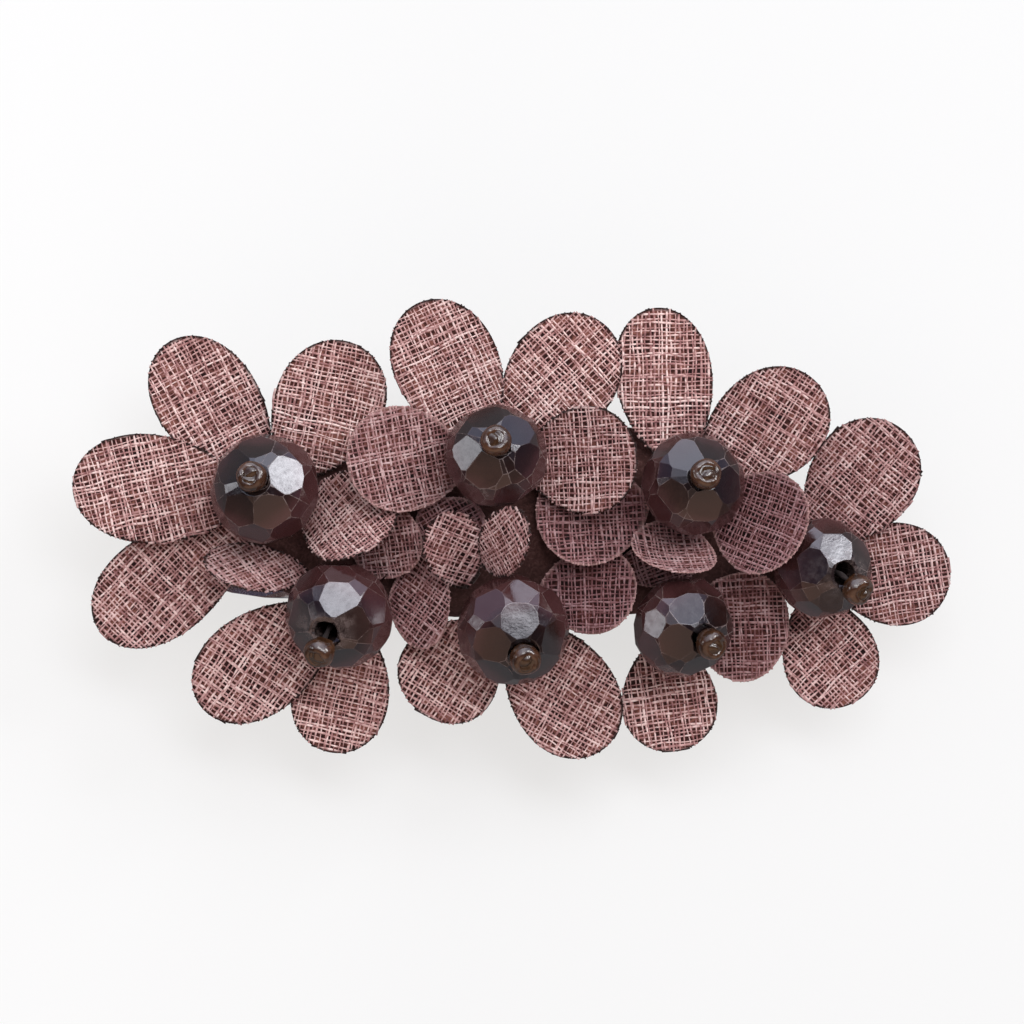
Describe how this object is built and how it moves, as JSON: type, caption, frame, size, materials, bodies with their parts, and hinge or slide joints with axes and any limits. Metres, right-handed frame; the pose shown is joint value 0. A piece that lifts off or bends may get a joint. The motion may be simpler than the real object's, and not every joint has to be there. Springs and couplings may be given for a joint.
{
  "type": "flower hair clip",
  "caption": "Oval hair clip of stiffened linen flowers with cut beads at their centres, sewn to a felt pad over an arched metal barrette with a hinged arm and squeeze latch.",
  "frame": {"origin": "centre of the bounding box in plan, at the flat back of the clasp arm", "axes": "+X along the clip from hinge to latch, +Y towards the upper row of flowers, +Z away from the hair"},
  "size_m": [0.0804, 0.042, 0.0227],
  "materials": {
    "linen": "stiffened plain-weave linen, dusty mauve brown",
    "felt": "dark brown felt",
    "bead_glass": "dark aubergine glass with hand-cut facets",
    "seed_glass": "bronze coated seed glass",
    "plated_steel": "nickel plate",
    "spring_steel": "bright spring steel"
  },
  "bodies": {
    "clip": {"petal_1_west": "linen", "petal_1_northwest": "linen", "petal_1_northeast": "linen", "petal_1_southeast": "linen", "petal_1_southwest": "linen", "petal_2_northwest": "linen", "petal_2_northeast": "linen", "petal_2_east": "linen", "petal_2_west": "linen", "petal_2_south": "linen", "petal_3_north": "linen", "petal_3_northeast": "linen", "petal_3_southeast": "linen", "petal_3_south": "linen", "petal_3_west": "linen", "petal_4_northwest": "linen", "petal_4_southwest": "linen", "petal_4_south": "linen", "petal_4_east": "linen", "petal_4_northeast": "linen", "petal_5_southwest": "linen", "petal_5_southeast": "linen", "petal_5_east": "linen", "petal_5_northeast": "linen", "petal_5_northwest": "linen", "petal_6_south": "linen", "petal_6_east": "linen", "petal_6_north": "linen", "petal_7_northeast": "linen", "petal_7_east": "linen", "petal_7_south": "linen", "faceted_bead_1": "bead_glass", "faceted_bead_2": "bead_glass", "faceted_bead_3": "bead_glass", "faceted_bead_4": "bead_glass", "faceted_bead_5": "bead_glass", "faceted_bead_6": "bead_glass", "faceted_bead_7": "bead_glass", "seed_bead_1": "seed_glass", "seed_bead_2": "seed_glass", "seed_bead_3": "seed_glass", "seed_bead_4": "seed_glass", "seed_bead_5": "seed_glass", "seed_bead_6": "seed_glass", "seed_bead_7": "seed_glass", "felt_pad": "felt", "base_bar": "plated_steel", "hinge_pin": "plated_steel", "latch_rivet": "plated_steel", "latch_plate": "spring_steel", "tension_spring": "spring_steel"},
    "arm": {"clasp_arm": "plated_steel"},
    "wing_left": {"latch_wing_left": "spring_steel"},
    "wing_right": {"latch_wing_right": "spring_steel"}
  },
  "joints": [
    {"name": "arm_hinge", "type": "hinge", "parent": "clip", "child": "arm", "pos_m": [-0.02717, -0.00186, 0.00128], "axis": [0, 1, 0], "range_deg": [0, 75]},
    {"name": "wing_left_squeeze", "type": "hinge", "parent": "clip", "child": "wing_left", "pos_m": [0.0257, 0.00044, 0.004], "axis": [-1, 0, 0], "range_deg": [0, 10], "stiffness_Nm_per_rad": 0.08},
    {"name": "wing_right_squeeze", "type": "hinge", "parent": "clip", "child": "wing_right", "pos_m": [0.0257, -0.00416, 0.004], "axis": [1, 0, 0], "range_deg": [0, 10], "stiffness_Nm_per_rad": 0.08}
  ]
}
